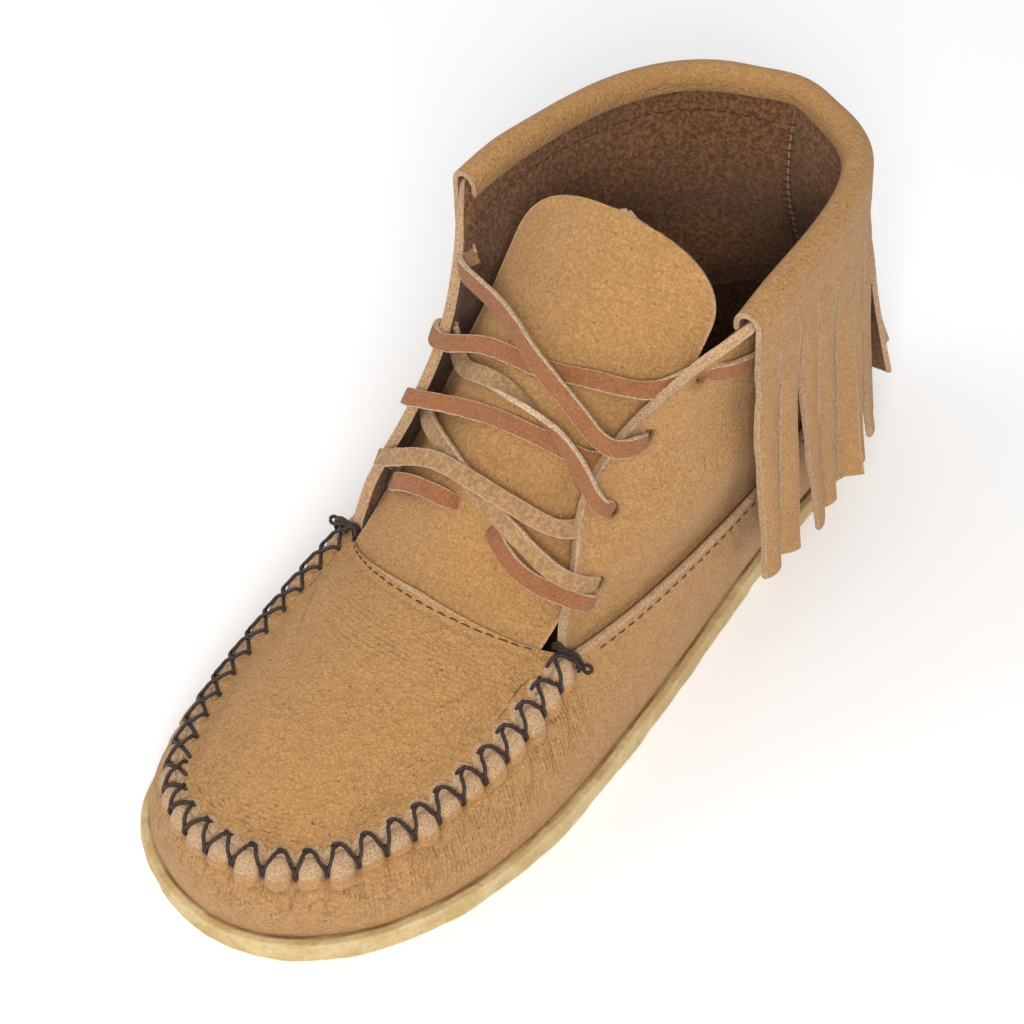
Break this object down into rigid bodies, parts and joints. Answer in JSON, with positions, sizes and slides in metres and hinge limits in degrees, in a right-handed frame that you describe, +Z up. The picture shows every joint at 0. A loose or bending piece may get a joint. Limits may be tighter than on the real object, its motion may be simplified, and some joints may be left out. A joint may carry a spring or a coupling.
{
  "type": "moccasin",
  "caption": "Left ankle-high leather moccasin with a puckered toe, apron plug, laced tongue, rolled and fringed collar and a flat crepe sole.",
  "frame": {"origin": "on the ground under the middle of the sole, at the middle of its length", "axes": "-Y towards the toe, +X towards the outer (lateral) side of this left shoe, +Z up"},
  "size_m": [0.1031, 0.2621, 0.1276],
  "materials": {
    "crepe": "translucent crepe",
    "leather": "soft nubuck",
    "suede": "napped suede",
    "foam": "foam sheet",
    "thong": "smooth thong",
    "waxed_thread": "waxed",
    "machine_thread": "twisted"
  },
  "bodies": {
    "shoe": {"outsole": "crepe", "wrap": "leather", "insole_foam": "foam", "insole_cover": "suede", "plug": "leather", "quarter_lateral": "leather", "quarter_medial": "leather", "cuff_band": "leather", "tongue_root": "leather", "lace": "thong", "apron_stitches": "waxed_thread", "apron_knots": "waxed_thread", "tongue_stitches": "machine_thread", "quarter_stitches": "machine_thread", "cuff_stitches": "machine_thread", "back_stitches": "machine_thread"},
    "tongue_flap": {"tongue_flap": "leather"},
    "fringe_strand_01": {"fringe_strand_01": "leather"},
    "fringe_strand_02": {"fringe_strand_02": "leather"},
    "fringe_strand_03": {"fringe_strand_03": "leather"},
    "fringe_strand_04": {"fringe_strand_04": "leather"},
    "fringe_strand_05": {"fringe_strand_05": "leather"},
    "fringe_strand_06": {"fringe_strand_06": "leather"},
    "fringe_strand_07": {"fringe_strand_07": "leather"},
    "fringe_strand_08": {"fringe_strand_08": "leather"},
    "fringe_strand_09": {"fringe_strand_09": "leather"},
    "fringe_strand_10": {"fringe_strand_10": "leather"},
    "fringe_strand_11": {"fringe_strand_11": "leather"},
    "fringe_strand_12": {"fringe_strand_12": "leather"},
    "fringe_strand_13": {"fringe_strand_13": "leather"},
    "fringe_strand_14": {"fringe_strand_14": "leather"},
    "fringe_strand_15": {"fringe_strand_15": "leather"},
    "fringe_strand_16": {"fringe_strand_16": "leather"},
    "fringe_strand_17": {"fringe_strand_17": "leather"},
    "fringe_strand_18": {"fringe_strand_18": "leather"},
    "fringe_strand_19": {"fringe_strand_19": "leather"},
    "fringe_strand_20": {"fringe_strand_20": "leather"},
    "fringe_strand_21": {"fringe_strand_21": "leather"},
    "fringe_strand_22": {"fringe_strand_22": "leather"}
  },
  "joints": [
    {"name": "tongue_fold", "type": "hinge", "parent": "shoe", "child": "tongue_flap", "pos_m": [0, -0.00599, 0.06208], "axis": [-1, 0, 0], "range_deg": [0, 25]},
    {"name": "strand_01_swing", "type": "hinge", "parent": "shoe", "child": "fringe_strand_01", "pos_m": [0.04884, 0.03552, 0.0986], "axis": [0.0524, -0.9986, 0], "range_deg": [0, 50]},
    {"name": "strand_02_swing", "type": "hinge", "parent": "shoe", "child": "fringe_strand_02", "pos_m": [0.04809, 0.04532, 0.10003], "axis": [0.0988, -0.9951, 0], "range_deg": [0, 50]},
    {"name": "strand_03_swing", "type": "hinge", "parent": "shoe", "child": "fringe_strand_03", "pos_m": [0.04692, 0.0551, 0.10072], "axis": [0.133, -0.9911, 0], "range_deg": [0, 50]},
    {"name": "strand_04_swing", "type": "hinge", "parent": "shoe", "child": "fringe_strand_04", "pos_m": [0.04554, 0.0648, 0.10075], "axis": [0.1515, -0.9885, 0], "range_deg": [0, 50]},
    {"name": "strand_05_swing", "type": "hinge", "parent": "shoe", "child": "fringe_strand_05", "pos_m": [0.0438, 0.07459, 0.1004], "axis": [0.2144, -0.9767, 0], "range_deg": [0, 50]},
    {"name": "strand_06_swing", "type": "hinge", "parent": "shoe", "child": "fringe_strand_06", "pos_m": [0.0411, 0.08432, 0.09985], "axis": [0.3263, -0.9453, 0], "range_deg": [0, 50]},
    {"name": "strand_07_swing", "type": "hinge", "parent": "shoe", "child": "fringe_strand_07", "pos_m": [0.03714, 0.09369, 0.09922], "axis": [0.4566, -0.8897, 0], "range_deg": [0, 50]},
    {"name": "strand_08_swing", "type": "hinge", "parent": "shoe", "child": "fringe_strand_08", "pos_m": [0.03168, 0.10242, 0.09859], "axis": [0.6112, -0.7915, 0], "range_deg": [0, 50]},
    {"name": "strand_09_swing", "type": "hinge", "parent": "shoe", "child": "fringe_strand_09", "pos_m": [0.02442, 0.10992, 0.09809], "axis": [0.775, -0.6319, 0], "range_deg": [0, 50]},
    {"name": "strand_10_swing", "type": "hinge", "parent": "shoe", "child": "fringe_strand_10", "pos_m": [0.01549, 0.1155, 0.09797], "axis": [0.9109, -0.4125, 0], "range_deg": [0, 50]},
    {"name": "strand_11_swing", "type": "hinge", "parent": "shoe", "child": "fringe_strand_11", "pos_m": [0.00532, 0.1185, 0.09797], "axis": [0.9893, -0.1458, 0], "range_deg": [0, 50]},
    {"name": "strand_12_swing", "type": "hinge", "parent": "shoe", "child": "fringe_strand_12", "pos_m": [-0.00532, 0.1185, 0.09797], "axis": [0.9893, 0.1458, 0], "range_deg": [0, 50]},
    {"name": "strand_13_swing", "type": "hinge", "parent": "shoe", "child": "fringe_strand_13", "pos_m": [-0.01549, 0.1155, 0.09797], "axis": [0.9109, 0.4125, 0], "range_deg": [0, 50]},
    {"name": "strand_14_swing", "type": "hinge", "parent": "shoe", "child": "fringe_strand_14", "pos_m": [-0.02442, 0.10992, 0.09809], "axis": [0.775, 0.6319, 0], "range_deg": [0, 50]},
    {"name": "strand_15_swing", "type": "hinge", "parent": "shoe", "child": "fringe_strand_15", "pos_m": [-0.03168, 0.10242, 0.09859], "axis": [0.6112, 0.7915, 0], "range_deg": [0, 50]},
    {"name": "strand_16_swing", "type": "hinge", "parent": "shoe", "child": "fringe_strand_16", "pos_m": [-0.03714, 0.09369, 0.09922], "axis": [0.4566, 0.8897, 0], "range_deg": [0, 50]},
    {"name": "strand_17_swing", "type": "hinge", "parent": "shoe", "child": "fringe_strand_17", "pos_m": [-0.0411, 0.08432, 0.09985], "axis": [0.3263, 0.9453, 0], "range_deg": [0, 50]},
    {"name": "strand_18_swing", "type": "hinge", "parent": "shoe", "child": "fringe_strand_18", "pos_m": [-0.0438, 0.07459, 0.1004], "axis": [0.2144, 0.9767, 0], "range_deg": [0, 50]},
    {"name": "strand_19_swing", "type": "hinge", "parent": "shoe", "child": "fringe_strand_19", "pos_m": [-0.04554, 0.0648, 0.10075], "axis": [0.1515, 0.9885, 0], "range_deg": [0, 50]},
    {"name": "strand_20_swing", "type": "hinge", "parent": "shoe", "child": "fringe_strand_20", "pos_m": [-0.04692, 0.0551, 0.10072], "axis": [0.133, 0.9911, 0], "range_deg": [0, 50]},
    {"name": "strand_21_swing", "type": "hinge", "parent": "shoe", "child": "fringe_strand_21", "pos_m": [-0.04809, 0.04532, 0.10003], "axis": [0.0988, 0.9951, 0], "range_deg": [0, 50]},
    {"name": "strand_22_swing", "type": "hinge", "parent": "shoe", "child": "fringe_strand_22", "pos_m": [-0.04884, 0.03552, 0.0986], "axis": [0.0524, 0.9986, 0], "range_deg": [0, 50]}
  ]
}
